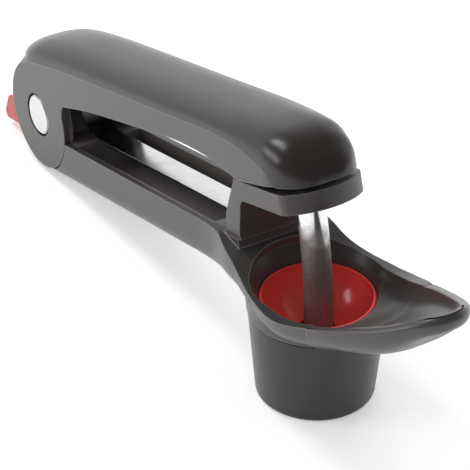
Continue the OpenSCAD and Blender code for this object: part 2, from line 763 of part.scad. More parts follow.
module rod_block()
    color(dark_plastic)
        at_hinge(upper_tilt)
            difference() {
                union() {
                    translate([block_u, 0, floor_top])
                        cylinder(r = rod_r + 1.6, h = block_top - floor_top);
                    translate([block_screw_u - 3.5, -7.5, floor_top])
                        cube([block_u - block_screw_u + 3.5, 15, block_foot_t]);
                }
                rod_path(rod_r, 2, 9);
                for (side = [-1, 1])
                    translate([block_screw_u, side * block_screw_y, 0])
                        cylinder(r = 1.1, h = 30);
                translate([block_u, 0, rod_pin_v])
                    cross_bar(rod_pin_r, -10, 10);
            }

module rod_pin()
    color(steel)
        at_hinge(upper_tilt)
            translate([block_u, 0, rod_pin_v])
                cross_bar(rod_pin_r, -rod_r - 1.4, rod_r + 1.4);

module block_screws()
    color(steel)
        at_hinge(upper_tilt)
            for (side = [-1, 1])
                translate([block_screw_u, side * block_screw_y, floor_top + block_foot_t])
                    mirror([0, 0, 1])
                        screw(1, block_foot_t + 2, 2.1, 1.4);

// --------------------------------------------------------------- hinge parts

head_t = 1.2;
head_face = half_w - 0.05;

module hinge_pin()
    color(steel)
        translate([hinge_x, 0, hinge_h]) {
            cross_bar(pin_r, -head_face + 0.5, head_face - head_t);
            cross_bar(1.9, 0, head_face - 0.5);
            difference() {
                cross_bar(pin_head_r, -head_face, -head_face + head_t);
                translate([0, -head_face + 0.25, 0])
                    rotate([90, 0, 0])
                        difference() {
                            cylinder(r = pin_head_r + 1, h = 2);
                            translate([0, 0, -1])
                                cylinder(r = pin_head_r - 0.3, h = 4);
                        }
            }
        }

module pin_cap()
    color(steel)
        translate([hinge_x, 0, hinge_h])
            difference() {
                cross_bar(pin_head_r, head_face - head_t, head_face);
                cross_bar(1.9, 0, head_face - 0.5);
            }

module hinge_washers()
    color(mid_plastic)
        translate([hinge_x, 0, hinge_h])
            for (side = [-1, 1])
                translate([0, side * (knuckle_half + 0.3), 0])
                    difference() {
                        cross_bar(6.2, -0.25, 0.25);
                        cross_bar(bore_r, -1, 1);
                    }

// --------------------------------------------------------------------- lock

tab_u0 = -30.4;
tab_u1 = -21.3;
tab_top = -1;
tab_foot = -9;
tongue_u1 = 8;
tongue_half = knuckle_half - 0.5;
slider_v = slot_v + 0.2;
lock_travel = 6;

// Red slider: rounded finger tab behind the rear wall and a slotted tongue
module lock_slider()
    color(red)
        at_hinge(lower_tilt)
            difference() {
                union() {
                    side_slab(tongue_half)
                        polygon([[tongue_u1, slider_v], [tongue_u1, slider_v + slider_t],
                                 [-15.4, slider_v + slider_t], [-18.6, -9.8], [tab_u1 - 1, -7.4],
                                 [tab_u1 - 3, tab_foot], [-17, slider_v]]);
                    side_slab(lock_w / 2)
                        polygon(concat(
                            [[tab_u1, tab_foot]],
                            arc([tab_u1 - 1.5, tab_top - 1.5], 1.5, 0, 90, 5),
                            arc([tab_u0 + 5.2, tab_top - 2.4], 2.4, 90, 155, 5),
                            arc([tab_u0 + 1.8, tab_foot + 1.8], 1.8, 155, 270, 6)));
                }
                // Slot for the stop screw, as long as the travel
                translate([lock_screw_u, 0, slider_v - 1])
                    linear_extrude(slider_t + 2)
                        union() {
                            translate([0, -1.7])
                                square([lock_travel, 3.4]);
                            circle(r = 1.7);
                            translate([lock_travel, 0])
                                circle(r = 1.7);
                        }
            }

module lock_screw()
    color(steel)
        at_hinge(lower_tilt)
            translate([lock_screw_u, 0, -hinge_h + 1.4])
                screw(lock_screw_r, 7.4, 2.4, 1.2);

lower_handle();
guide_bracket();
bracket_screws();
leaf_spring();
upper_handle();
top_cover();
cover_screws();
plunger_rod();
rod_block();
rod_pin();
block_screws();
fruit_seat();
seat_ring();
pit_cup();
hinge_pin();
pin_cap();
hinge_washers();
lock_slider();
lock_screw();
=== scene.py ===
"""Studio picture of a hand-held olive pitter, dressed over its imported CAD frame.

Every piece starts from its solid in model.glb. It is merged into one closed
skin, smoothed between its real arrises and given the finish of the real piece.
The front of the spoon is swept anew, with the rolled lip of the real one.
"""

import logging
import math
from dataclasses import dataclass, field, replace
from enum import Enum
from typing import Any, Optional, Union

import bpy
from mathutils import Matrix, Vector

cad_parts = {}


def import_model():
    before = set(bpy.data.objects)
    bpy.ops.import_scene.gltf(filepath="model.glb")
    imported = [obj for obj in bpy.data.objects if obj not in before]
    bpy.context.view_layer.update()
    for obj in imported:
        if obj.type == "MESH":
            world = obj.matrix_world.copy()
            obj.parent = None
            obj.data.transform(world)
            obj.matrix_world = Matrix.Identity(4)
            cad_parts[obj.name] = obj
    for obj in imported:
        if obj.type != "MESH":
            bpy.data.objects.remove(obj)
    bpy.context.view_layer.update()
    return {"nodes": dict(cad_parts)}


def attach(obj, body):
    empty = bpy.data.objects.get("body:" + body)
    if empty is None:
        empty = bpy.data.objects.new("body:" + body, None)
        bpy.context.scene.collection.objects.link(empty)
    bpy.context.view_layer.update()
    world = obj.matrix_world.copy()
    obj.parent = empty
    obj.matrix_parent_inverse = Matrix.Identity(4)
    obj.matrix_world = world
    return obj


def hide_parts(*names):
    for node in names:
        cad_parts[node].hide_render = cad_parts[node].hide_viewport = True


LOG = logging.getLogger("olive_pitter")
MM = 0.001
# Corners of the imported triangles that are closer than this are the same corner.
MERGE_DISTANCE = 0.002 * MM
# Triangles that lean less than this against each other are one flat face.
FLAT_DEG = 0.2
TINY = 1e-9
NOISE_MEAN = 0.5
# Width of the photograph and focal length of its camera, in its own pixels.
PICTURE_PX = 470.0
FOCAL_PX = 2500.0
SENSOR_WIDTH = 36.0
Triple = tuple[float, float, float]
Colour = Triple
Operand = Union["Wire", float]


class Op(Enum):
    """Maths that the finishes use on plain values."""

    ADD = "ADD"
    SUBTRACT = "SUBTRACT"
    MULTIPLY = "MULTIPLY"
    MAXIMUM = "MAXIMUM"
    MINIMUM = "MINIMUM"


class Wire:
    """An output socket that can be used in Python expressions."""

    def __init__(self, graph: "Graph", socket: bpy.types.NodeSocket) -> None:
        """Keeps the socket and the graph that it belongs to.

        Args:
            graph: the node graph that new Math nodes go into.
            socket: the output socket that this wire starts from.
        """
        self.graph = graph
        self.socket = socket

    def _math(self, op: Op, a: Operand, b: Operand) -> "Wire":
        """Adds one Math node.

        Args:
            op: the operation.
            a: first operand.
            b: second operand.

        Returns:
            The node's output.
        """
        return self.graph.add("ShaderNodeMath", {"operation": op.value}, {0: a, 1: b})

    def __add__(self, other: Operand) -> "Wire":
        """Sum of two values."""
        return self._math(Op.ADD, self, other)

    def __radd__(self, other: Operand) -> "Wire":
        """Sum of two values, number first."""
        return self._math(Op.ADD, other, self)

    def __sub__(self, other: Operand) -> "Wire":
        """Difference of two values."""
        return self._math(Op.SUBTRACT, self, other)

    def __rsub__(self, other: Operand) -> "Wire":
        """Difference of two values, number first."""
        return self._math(Op.SUBTRACT, other, self)

    def __mul__(self, other: Operand) -> "Wire":
        """Product of two values."""
        return self._math(Op.MULTIPLY, self, other)

    def clamped(self) -> "Wire":
        """Limits the value to 0 to 1."""
        return self._math(Op.MINIMUM, self._math(Op.MAXIMUM, self, 0.0), 1.0)


class Graph:
    """The node tree of one material or of the world."""

    def __init__(self, tree: bpy.types.NodeTree) -> None:
        """Empties the tree.

        Args:
            tree: the node tree to fill.
        """
        self.tree = tree
        tree.nodes.clear()

    def node(self, kind: str, settings: Optional[dict[str, Any]] = None,
             inputs: Optional[dict[Union[int, str], Any]] = None) -> bpy.types.Node:
        """Adds a node, sets it up and feeds its sockets.

        Args:
            kind: the node's type name.
            settings: properties that are set before the sockets.
            inputs: values or wires by socket name or number.

        Returns:
            The new node.
        """
        node = self.tree.nodes.new(kind)
        for key, value in (settings or {}).items():
            setattr(node, key, value)
        for key, value in (inputs or {}).items():
            if isinstance(value, Wire):
                self.tree.links.new(value.socket, node.inputs[key])
            else:
                node.inputs[key].default_value = value
        return node

    def add(self, kind: str, settings: Optional[dict[str, Any]] = None,
            inputs: Optional[dict[Union[int, str], Any]] = None,
            out: Union[int, str] = 0) -> Wire:
        """Adds a node and gives one of its outputs.

        Args:
            kind: the node's type name.
            settings: properties that are set before the sockets.
            inputs: values or wires by socket name or number.
            out: name or number of the output wanted.

        Returns:
            That output as a wire.
        """
        return Wire(self, self.node(kind, settings, inputs).outputs[out])

    def mix(self, share: Operand, a: Any, b: Any) -> Wire:
        """Blends two colours.

        Args:
            share: share of the second colour.
            a: first colour, as numbers or a wire.
            b: second colour.

        Returns:
            The blended colour.
        """
        first = a if isinstance(a, Wire) else (*a, 1.0)
        second = b if isinstance(b, Wire) else (*b, 1.0)
        node = self.node("ShaderNodeMix", {"data_type": "RGBA"}, {0: share, 6: first, 7: second})
        return Wire(self, node.outputs[2])

    def place(self, scale: Triple = (1.0, 1.0, 1.0)) -> Wire:
        """Object coordinates, stretched along each axis."""
        coords = self.add("ShaderNodeTexCoord", out="Object")
        return self.add("ShaderNodeMapping", None, {"Vector": coords, "Scale": scale})

    def split(self, vector: Wire) -> tuple[Wire, ...]:
        """X, Y and Z of a vector."""
        node = self.node("ShaderNodeSeparateXYZ", None, {0: vector})
        return tuple(Wire(self, socket) for socket in node.outputs)

    def noise(self, where: Wire, scale: float, detail: float = 3.0, rough: float = 0.5) -> Wire:
        """Smooth noise.

        Args:
            where: coordinates.
            scale: patches per metre.
            detail: octaves.
            rough: strength of the finer octaves.

        Returns:
            Noise between 0 and 1.
        """
        return self.add("ShaderNodeTexNoise", {"noise_dimensions": "3D"},
                        {"Vector": where, "Scale": scale, "Detail": detail, "Roughness": rough})

    def ease(self, value: Wire, start: float, end: float, low: float, high: float) -> Wire:
        """Smooth change from one level to another.

        Args:
            value: what the change follows.
            start: value at which it starts.
            end: value at which it ends.
            low: level before the start.
            high: level past the end.

        Returns:
            The level.
        """
        return self.add("ShaderNodeMapRange", {"interpolation_type": "SMOOTHSTEP"},
                        {"Value": value, "From Min": start, "From Max": end,
                         "To Min": low, "To Max": high})

    def bevel(self, radius: float, samples: int = 6) -> Wire:
        """Normal that is rounded over the arrises."""
        return self.add("ShaderNodeBevel", {"samples": samples}, {"Radius": radius})

    def bump(self, height: Wire, strength: float, depth: float,
             rounded: Optional[Wire] = None) -> Wire:
        """Normal of a surface with fine relief.

        Args:
            height: the relief, 0 to 1.
            strength: how much of the relief shows.
            depth: its depth in metres.
            rounded: normal that the relief lies on, where it isn't the true one.

        Returns:
            The normal.
        """
        inputs = {"Strength": strength, "Distance": depth, "Height": height}
        if rounded is not None:
            inputs["Normal"] = rounded
        return self.add("ShaderNodeBump", None, inputs)

    def arris(self, rounded: Wire, gain: float = 9.0) -> Wire:
        """Mask of the sharp edges: where the rounded normal leaves the true one.

        Args:
            rounded: normal from a Bevel node.
            gain: how soon the mask is full.

        Returns:
            1 on an arris, 0 away from it.
        """
        true = self.add("ShaderNodeNewGeometry", out="Normal")
        same = self.add("ShaderNodeVectorMath", {"operation": "DOT_PRODUCT"},
                        {0: rounded, 1: true}, out="Value")
        return ((1.0 - same) * gain).clamped()


@dataclass(frozen=True)
class Finish:
    """What all finishes share: a name and a way to make the material once."""

    name: str

    def material(self) -> bpy.types.Material:
        """The Blender material, made on first use.

        Returns:
            The material.
        """
        found = bpy.data.materials.get(self.name)
        if found:
            return found
        made = bpy.data.materials.new(self.name)
        made.use_nodes = True
        graph = Graph(made.node_tree)
        shader = self.shade(graph)
        graph.node("ShaderNodeOutputMaterial", None, {"Surface": shader})
        return made

    def shade(self, graph: Graph) -> Wire:
        """Builds the shader.

        Args:
            graph: the graph to build in.

        Returns:
            The shader's output.
        """
        raise NotImplementedError


@dataclass(frozen=True)
class Moulding(Finish):
    """Injection-moulded plastic, fine spark grain, soft arrises with a painted highlight."""

    colour: Colour = (0.03, 0.027, 0.025)
    tint: Colour = (0.036, 0.033, 0.031)
    # Colour, share and unevenness of the painted highlight along the arrises.
    edge_highlight: Colour = (0.16, 0.155, 0.15)
    edge_highlight_share: float = 0.5
    edge_highlight_least: float = 0.6
    edge_highlight_spread: float = 0.8
    roughness: float = 0.30
    rough_drop: float = 0.035
    flow_rough: float = 0.04
    rub_rough: float = 0.05
    spark_rough: float = 0.02
    grain: float = 0.10
    grain_depth: float = 0.03 * MM
    arris: float = 0.45 * MM
    specular: float = 0.5
    ior: float = 1.5
    flow_stretch: Triple = (0.35, 1.0, 1.0)
    flow_scale: float = 26.0
    rub_and_highlight_scale: float = 75.0
    spark_scale: float = 3400.0

    def shade(self, graph: Graph) -> Wire:
        """Grain, faint flow marks and handling sheen, with a painted highlight on the arrises.

        Args:
            graph: the graph to build in.

        Returns:
            The shader's output.
        """
        where = graph.place()
        flow = graph.noise(graph.place(self.flow_stretch), self.flow_scale, detail=2.0,
                           rough=0.45)
        rub_and_highlight = graph.noise(where, self.rub_and_highlight_scale, detail=5.0, rough=0.6)
        spark = graph.noise(where, self.spark_scale, detail=2.0, rough=0.6)
        rounded = graph.bevel(self.arris)
        # Painted highlight: the arrises are lightened in uneven patches.
        wear_and_highlight = graph.arris(rounded) * self.edge_highlight_share * (self.edge_highlight_least + rub_and_highlight * self.edge_highlight_spread)
        colour = graph.mix(wear_and_highlight, self.ground(graph, where, flow), self.edge_highlight)
        rough = ((self.roughness - self.rough_drop) + flow * self.flow_rough
                 + rub_and_highlight * self.rub_rough + spark * self.spark_rough)
        bump = graph.bump(spark, self.grain, self.grain_depth, rounded)
        return graph.add("ShaderNodeBsdfPrincipled", None,
                         {"Base Color": colour, "Roughness": rough, "Normal": bump,
                          "IOR": self.ior, "Specular IOR Level": self.specular})

    def ground(self, graph: Graph, where: Wire, flow: Wire) -> Wire:
        """Base colour away from the arrises.

        Args:
            graph: the graph to build in.
            where: object coordinates; not used here.
            flow: soft flow marks, 0 to 1.

        Returns:
            The colour.
        """
        return graph.mix(flow, self.colour, self.tint)


@dataclass(frozen=True)
class HandleMoulding(Moulding):
    """Handle plastic, painted paler down inside the channel of the lower handle.

    The paler colour is painted light for the light that reaches into the channel.
    The pale part lies between the channel's walls and behind its front end. Its
    top edge rises towards the spoon, as the handle does.
    """

    # Painted light: the paler colour of the channel's floor and walls.
    inside: Colour = (0.15, 0.137, 0.13)
    inside_half: float = 10.4 * MM
    inside_edge: float = 0.2 * MM
    inside_front: float = -28.0 * MM
    inside_fade: float = 4.0 * MM
    inside_full: float = 40.0 * MM
    inside_top: float = 46.0 * MM
    inside_slope: float = 0.19

    def ground(self, graph: Graph, where: Wire, flow: Wire) -> Wire:
        """Base colour, with the channel's floor and walls painted paler as painted light.

        Args:
            graph: the graph to build in.
            where: object coordinates.
            flow: soft flow marks, 0 to 1.

        Returns:
            The colour.
        """
        x, y, z = graph.split(where)
        side = graph.ease(y * y, (self.inside_half - self.inside_edge) ** 2,
                          self.inside_half ** 2, 1.0, 0.0)
        front = graph.ease(x, self.inside_front - self.inside_fade, self.inside_front, 1.0, 0.0)
        low = graph.ease(z - x * self.inside_slope, self.inside_full, self.inside_top, 1.0, 0.0)
        # Painted light: the channel is blended towards its paler colour.
        return graph.mix(side * front * low, super().ground(graph, where, flow), self.inside)


@dataclass(frozen=True)
class GlossMoulding(Finish):
    """Coloured plastic from a polished mould."""

    colour: Colour = (0.42, 0.016, 0.014)
    tint: Colour = (0.33, 0.010, 0.010)
    roughness: float = 0.2
    rough_drop: float = 0.03
    flow_rough: float = 0.05
    ripple_rough: float = 0.03
    ripple: float = 0.05
    ripple_depth: float = 0.05 * MM
    arris: float = 0.3 * MM
    ior: float = 1.5
    flow_scale: float = 60.0
    ripple_scale: float = 420.0

    def shade(self, graph: Graph) -> Wire:
        """Even colour that deepens in soft patches, over a faint ripple.

        Args:
            graph: the graph to build in.

        Returns:
            The shader's output.
        """
        where = graph.place()
        flow = graph.noise(where, self.flow_scale)
        ripple = graph.noise(where, self.ripple_scale, detail=2.0)
        rough = ((self.roughness - self.rough_drop) + flow * self.flow_rough
                 + ripple * self.ripple_rough)
        bump = graph.bump(ripple, self.ripple, self.ripple_depth, graph.bevel(self.arris))
        return graph.add("ShaderNodeBsdfPrincipled", None,
                         {"Base Color": graph.mix(flow, self.colour, self.tint),
                          "Roughness": rough, "Normal": bump, "IOR": self.ior})


@dataclass(frozen=True)
class Steel(Finish):
    """Bare steel with drawn or ground marks along one direction."""

    colour: Colour = (0.78, 0.78, 0.79)
    dull: Colour = (0.6, 0.6, 0.61)
    dull_share: float = 0.5
    roughness: float = 0.16
    rough_drop: float = 0.05
    mark_rough: float = 0.10
    worn_rough: float = 0.08
    marks: float = 0.10
    mark_depth: float = 0.01 * MM
    stretch: Triple = (1.0, 1.0, 1.0)
    scale: float = 900.0
    patch_scale: float = 160.0
    worn_from: float = 0.45
    worn_gain: float = 2.2
    arris: float = 0.15 * MM

    def shade(self, graph: Graph) -> Wire:
        """Fine marks that run one way, with duller patches where it is handled.

        Args:
            graph: the graph to build in.

        Returns:
            The shader's output.
        """
        fine = graph.noise(graph.place(self.stretch), self.scale, detail=4.0, rough=0.65)
        patch = graph.noise(graph.place(), self.patch_scale)
        wear_and_highlight = ((patch - self.worn_from) * self.worn_gain).clamped()
        rough = ((self.roughness - self.rough_drop) + fine * self.mark_rough
                 + wear_and_highlight * self.worn_rough)
        bump = graph.bump(fine, self.marks, self.mark_depth, graph.bevel(self.arris, 4))
        return graph.add("ShaderNodeBsdfPrincipled", None,
                         {"Base Color": graph.mix(wear_and_highlight * self.dull_share, self.colour, self.dull),
                          "Metallic": 1.0, "Roughness": rough, "Normal": bump})


@dataclass(frozen=True)
class RodSteel(Steel):
    """Plunger rod: bright drawn shank that turns dull and grainy towards its tip."""

    bare: Colour = (0.21, 0.185, 0.172)
    pitted: Colour = (0.10, 0.088, 0.082)
    bright_from: float = 52.0 * MM
    dull_from: float = 43.0 * MM
    wander: float = 12.0 * MM
    drawn_rough: float = 0.06
    drawn_share: float = 0.5
    dull_rough: float = 0.34
    pit_rough: float = 0.05
    pit_scale: float = 1700.0
    pit_from: float = 0.52
    pit_gain: float = 5.0
    pit_share: float = 0.35
    pit_depth: float = 0.02 * MM
    relief: float = 4.0
    tarnish: float = 0.55
    patch_scale: float = 190.0

    def shade(self, graph: Graph) -> Wire:
        """Drawn marks over a pitted skin, darker and rougher low down.

        Args:
            graph: the graph to build in.

        Returns:
            The shader's output.
        """
        where = graph.place()
        drawn = graph.noise(graph.place(self.stretch), self.scale, detail=4.0, rough=0.65)
        pits = graph.noise(where, self.pit_scale, rough=0.7)
        patch = graph.noise(where, self.patch_scale)
        height = graph.split(where)[2] + (patch - NOISE_MEAN) * self.wander
        dull = graph.ease(height, self.dull_from, self.bright_from, 1.0, 0.0)
        speck = ((pits - self.pit_from) * self.pit_gain).clamped()
        colour = graph.mix(dull, graph.mix(speck * self.pit_share, self.colour, self.dull),
                           graph.mix(speck, self.bare, self.pitted))
        rough = (self.roughness + drawn * self.drawn_rough + dull * self.dull_rough
                 + speck * self.pit_rough)
        bump = graph.bump(drawn * self.drawn_share + pits, self.marks * self.relief,
                          self.pit_depth)
        return graph.add("ShaderNodeBsdfPrincipled", None,
                         {"Base Color": colour, "Metallic": 1.0 - dull * self.tarnish,
                          "Roughness": rough, "Normal": bump})


# The pale arris colours of HANDLE, COVER and GUIDE are a painted highlight.
HANDLE = HandleMoulding("handle_grey", colour=(0.050, 0.046, 0.0435),
                        tint=(0.060, 0.0555, 0.053), edge_highlight=(0.30, 0.29, 0.28), edge_highlight_share=0.7,
                        roughness=0.31, arris=0.5 * MM, ior=1.55)
COVER = Moulding("cover_grey", colour=(0.022, 0.018, 0.016), tint=(0.028, 0.024, 0.021),
                 edge_highlight=(0.24, 0.23, 0.22), roughness=0.28, arris=0.35 * MM)
GUIDE = Moulding("guide_grey", colour=(0.046, 0.040, 0.037), tint=(0.055, 0.049, 0.046),
                 edge_highlight=(0.30, 0.29, 0.28), edge_highlight_share=0.6, roughness=0.3, ior=1.55)
CUP = Moulding("cup_grey", colour=(0.019, 0.0155, 0.0140), tint=(0.024, 0.0200, 0.0180),
               roughness=0.33)
INNER = Moulding("inner_nylon", colour=(0.012, 0.012, 0.012), tint=(0.016, 0.016, 0.016),
                 roughness=0.5)
ACETAL = Moulding("washer_acetal", colour=(0.55, 0.54, 0.5), tint=(0.6, 0.59, 0.55),
                  roughness=0.42)
SEAT_RED = GlossMoulding("seat_red", colour=(0.86, 0.078, 0.068), tint=(0.76, 0.058, 0.052),
                         roughness=0.17)
TAB_RED = GlossMoulding("tab_red", colour=(0.5, 0.035, 0.03), tint=(0.44, 0.03, 0.026),
                        roughness=0.3)
ROD_STEEL = RodSteel("rod_polished", roughness=0.12, stretch=(1.0, 1.0, 0.04), scale=1500.0,
                     marks=0.06)
SPRING_STEEL = Steel("spring_strip", roughness=0.16, stretch=(0.05, 1.0, 0.05), scale=1600.0)
PIN_STEEL = Steel("pin_brushed", colour=(0.66, 0.655, 0.665), dull=(0.54, 0.54, 0.55),
                  roughness=0.36, stretch=(1.0, 1.0, 0.08), scale=1300.0, marks=0.35)
SCREW_STEEL = Steel("screw_zinc", colour=(0.6, 0.6, 0.62), roughness=0.3)


def only(obj: bpy.types.Object) -> None:
    """Selects one object and makes it active."""
    bpy.ops.object.select_all(action="DESELECT")
    obj.select_set(True)
    bpy.context.view_layer.objects.active = obj


@dataclass
class Skin:
    """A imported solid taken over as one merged, smoothed skin."""

    node: str
    piece: str
    body: str
    slot: str
    finish: Finish
    smooth_deg: float = 32.0

    def build(self, nodes: dict[str, bpy.types.Object]) -> bpy.types.Object:
        """Copies the solid, merges its triangles, smooths it and dresses it.

        Args:
            nodes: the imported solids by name.

        Returns:
            The finished piece.
        """
        return self.dress(self.merge(nodes))

    def merge(self, nodes: dict[str, bpy.types.Object]) -> bpy.types.Object:
        """Copies the solid and makes one closed skin of its loose triangles.

        Args:
            nodes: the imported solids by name.

        Returns:
            The copy, active and in object mode.
        """
        piece = bpy.data.objects.new(self.piece, nodes[self.node].data.copy())
        bpy.context.scene.collection.objects.link(piece)
        only(piece)
        bpy.ops.object.mode_set(mode="EDIT")
        bpy.ops.mesh.select_all(action="SELECT")
        bpy.ops.mesh.remove_doubles(threshold=MERGE_DISTANCE)
        bpy.ops.mesh.customdata_custom_splitnormals_clear()
        bpy.ops.mesh.dissolve_limited(angle_limit=math.radians(FLAT_DEG))
        bpy.ops.mesh.select_all(action="DESELECT")
        bpy.ops.object.mode_set(mode="OBJECT")
        return piece

    def dress(self, piece: bpy.types.Object) -> bpy.types.Object:
        """Smooths the piece between its arrises and gives it finish and body.

        Args:
            piece: the shaped piece.

        Returns:
            The same piece.
        """
        only(piece)
        bpy.ops.object.shade_smooth_by_angle(angle=math.radians(self.smooth_deg))
        even = piece.modifiers.new("even_normals", "WEIGHTED_NORMAL")
        even.keep_sharp = True
        bpy.ops.object.modifier_apply(modifier=even.name)
        piece.data.materials.clear()
        piece.data.materials.append(self.finish.material())
        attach(piece, self.body)
        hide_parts(self.node)
        LOG.info("%s: %d faces over %s", self.piece, len(piece.data.polygons), self.node)
        return piece


@dataclass(frozen=True)
class RimRow:
    """One cross-section of the spoon's lip, in millimetres, on the +Y side.

    inner and outer are X and Y of the lip's two edges, and top is its height. Its
    rounded outer edge is roll wide and drop deep. The section runs in to the middle
    of the spoon at centre_x, where floor and belly are the heights of its inside and
    its underside. The floor climbs to the lip at wall_deg, and fullness is how far
    the outside bulges, as a share of its reach.
    """

    inner: tuple[float, float]
    outer: tuple[float, float]
    top: float
    roll: float
    drop: float
    centre_x: float
    floor: float
    belly: float
    wall_deg: float
    fullness: float

    def values(self) -> list[float]:
        """All sizes in one list."""
        return [*self.inner, *self.outer, self.top, self.roll, self.drop, self.centre_x,
                self.floor, self.belly, self.wall_deg, self.fullness]

    @staticmethod
    def of(values: list[float]) -> "RimRow":
        """The section whose sizes are listed as values() lists them."""
        return RimRow(tuple(values[:2]), tuple(values[2:4]), *values[4:])

    def mirrored(self) -> "RimRow":
        """The same section on the other side."""
        return replace(self, inner=(self.inner[0], -self.inner[1]),
                       outer=(self.outer[0], -self.outer[1]))


@dataclass(frozen=True)
class RimShift:
    """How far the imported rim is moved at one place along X, in millimetres."""

    x: float
    rise: float
    spread: float = 0.0


@dataclass
class SpoonLip:
    """Front of the spoon, swept round its rim with a rolled-over lip, in millimetres.

    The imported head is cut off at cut_x, and the swept front starts a gap in front of
    the cut. Over its first settle millimetres it eases onto the cut's outline. The
    leads are lengths of curve handles, as shares of what the curve spans.
    """

    cut_x: float = 22.7
    gap: float = 0.4
    settle: float = 9.0
    shift_from_y: float = 12.5
    shift_from_z: float = 29.5
    shift_depth: float = 4.0
    shifts: tuple[RimShift, ...] = (
        RimShift(-20.0, 0.0), RimShift(-14.0, -0.25), RimShift(-5.0, -0.25),
        RimShift(3.0, 0.15), RimShift(9.5, 0.0), RimShift(15.0, -0.2),
        RimShift(19.0, -0.15), RimShift(23.0, 0.3, 0.15))
    inner_roll: float = 0.5
    crest_fall: float = 0.08
    floor_lead: float = 0.74
    climb_lead: float = 0.62
    edge_lead: float = 0.55
    crest_lead: float = 0.45
    flat_lead: float = 0.33
    brow_lead: float = 0.56
    drop_lead: float = 0.55
    steps_a_row: int = 4
    floor_points: int = 14
    edge_points: int = 4
    flat_points: int = 3
    roll_points: int = 7
    wall_points: int = 15
    rows: tuple[RimRow, ...] = (
        RimRow((23.1, 16.12), (23.1, 18.90), 39.75, 0.35, 0.35, 23.1, 32.7, 30.1, 86, 0.74),
        RimRow((26.0, 15.65), (26.0, 18.45), 41.20, 0.8, 0.7, 26.0, 34.3, 31.7, 85, 0.73),
        RimRow((29.3, 14.90), (29.3, 17.75), 42.70, 1.2, 1.1, 29.3, 36.2, 33.4, 83, 0.72),
        RimRow((33.1, 13.75), (33.1, 16.75), 44.60, 1.5, 1.5, 33.0, 38.6, 34.9, 81, 0.71),
        RimRow((36.9, 12.50), (36.9, 15.60), 46.60, 1.6, 1.6, 36.6, 41.0, 36.4, 78, 0.71),
        RimRow((40.6, 11.20), (40.8, 14.30), 48.60, 1.7, 1.7, 39.9, 43.3, 38.1, 74, 0.70),
        RimRow((44.1, 9.80), (44.4, 12.85), 50.60, 1.8, 1.8, 42.8, 45.3, 39.9, 69, 0.68),
        RimRow((47.0, 8.40), (47.5, 11.30), 52.45, 1.9, 1.9, 45.1, 46.9, 41.7, 64, 0.65),
        RimRow((49.9, 6.80), (50.6, 9.45), 54.35, 2.0, 2.0, 47.1, 48.4, 43.9, 58, 0.60),
        RimRow((52.4, 5.30), (53.3, 7.45), 56.00, 2.1, 2.1, 48.6, 49.5, 45.9, 52, 0.55),
        RimRow((54.3, 3.80), (55.5, 5.20), 57.10, 2.2, 2.2, 49.6, 50.3, 47.2, 47, 0.51),
        RimRow((55.3, 2.00), (56.8, 2.75), 57.60, 2.2, 2.3, 50.1, 50.7, 47.8, 44, 0.48),
        RimRow((55.6, 0.00), (57.2, 0.00), 57.70, 2.2, 2.3, 50.3, 50.8, 48.0, 43, 0.47),
    )

    def shape(self, piece: bpy.types.Object) -> None:
        """Evens the rim of the head and puts the swept front on it.

        Args:
            piece: the merged skin of the lower handle.
        """
        self._shift_rim(piece)
        self._cut(piece)
        loop = self._open_edge(piece)
        front = self._front(loop)
        bpy.ops.object.select_all(action="DESELECT")
        front.select_set(True)
        piece.select_set(True)
        bpy.context.view_layer.objects.active = piece
        bpy.ops.object.join()
        bpy.ops.object.mode_set(mode="EDIT")
        bpy.ops.mesh.select_all(action="SELECT")
        bpy.ops.mesh.remove_doubles(threshold=MERGE_DISTANCE)
        bpy.ops.mesh.select_all(action="DESELECT")
        bpy.ops.mesh.select_mode(type="EDGE")
        bpy.ops.mesh.select_non_manifold(extend=False, use_wire=False, use_multi_face=False,
                                         use_non_contiguous=False, use_verts=False)
        bpy.ops.mesh.bridge_edge_loops()
        bpy.ops.mesh.select_all(action="SELECT")
        bpy.ops.mesh.normals_make_consistent(inside=False)
        bpy.ops.mesh.select_all(action="DESELECT")
        bpy.ops.mesh.select_non_manifold(extend=False)
        bpy.ops.object.mode_set(mode="OBJECT")
        left = sum(1 for edge in piece.data.edges if edge.select)
        LOG.info("spoon lip: %d open edges left", left)

    def _shift_rim(self, piece: bpy.types.Object) -> None:
        """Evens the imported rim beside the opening.

        Args:
            piece: the merged skin.
        """
        pairs = list(zip(self.shifts, self.shifts[1:]))
        for vertex in piece.data.vertices:
            x, y, z = vertex.co / MM
            if not self.shifts[0].x < x < self.shifts[-1].x:
                continue
            if abs(y) < self.shift_from_y or z < self.shift_from_z:
                continue
            behind, ahead = next(pair for pair in pairs if x < pair[1].x)
            t = (x - behind.x) / (ahead.x - behind.x)
            t = t * t * (3 - 2 * t)
            share = min(1.0, (z - self.shift_from_z) / self.shift_depth) * MM
            rise = behind.rise + (ahead.rise - behind.rise) * t
            spread = behind.spread + (ahead.spread - behind.spread) * t
            vertex.co.z += rise * share
            vertex.co.y += math.copysign(spread * share, y)

    def _cut(self, piece: bpy.types.Object) -> None:
        """Takes the front off the spoon.

        Args:
            piece: the merged skin.
        """
        only(piece)
        bpy.ops.object.mode_set(mode="EDIT")
        bpy.ops.mesh.select_all(action="SELECT")
        bpy.ops.mesh.bisect(plane_co=(self.cut_x * MM, 0, 0), plane_no=(1, 0, 0),
                            clear_outer=True)
        bpy.ops.mesh.select_all(action="SELECT")
        # Only slivers are filled; the cut itself stays open for the swept front.
        bpy.ops.mesh.fill_holes(sides=4)
        bpy.ops.mesh.select_all(action="DESELECT")
        bpy.ops.object.mode_set(mode="OBJECT")

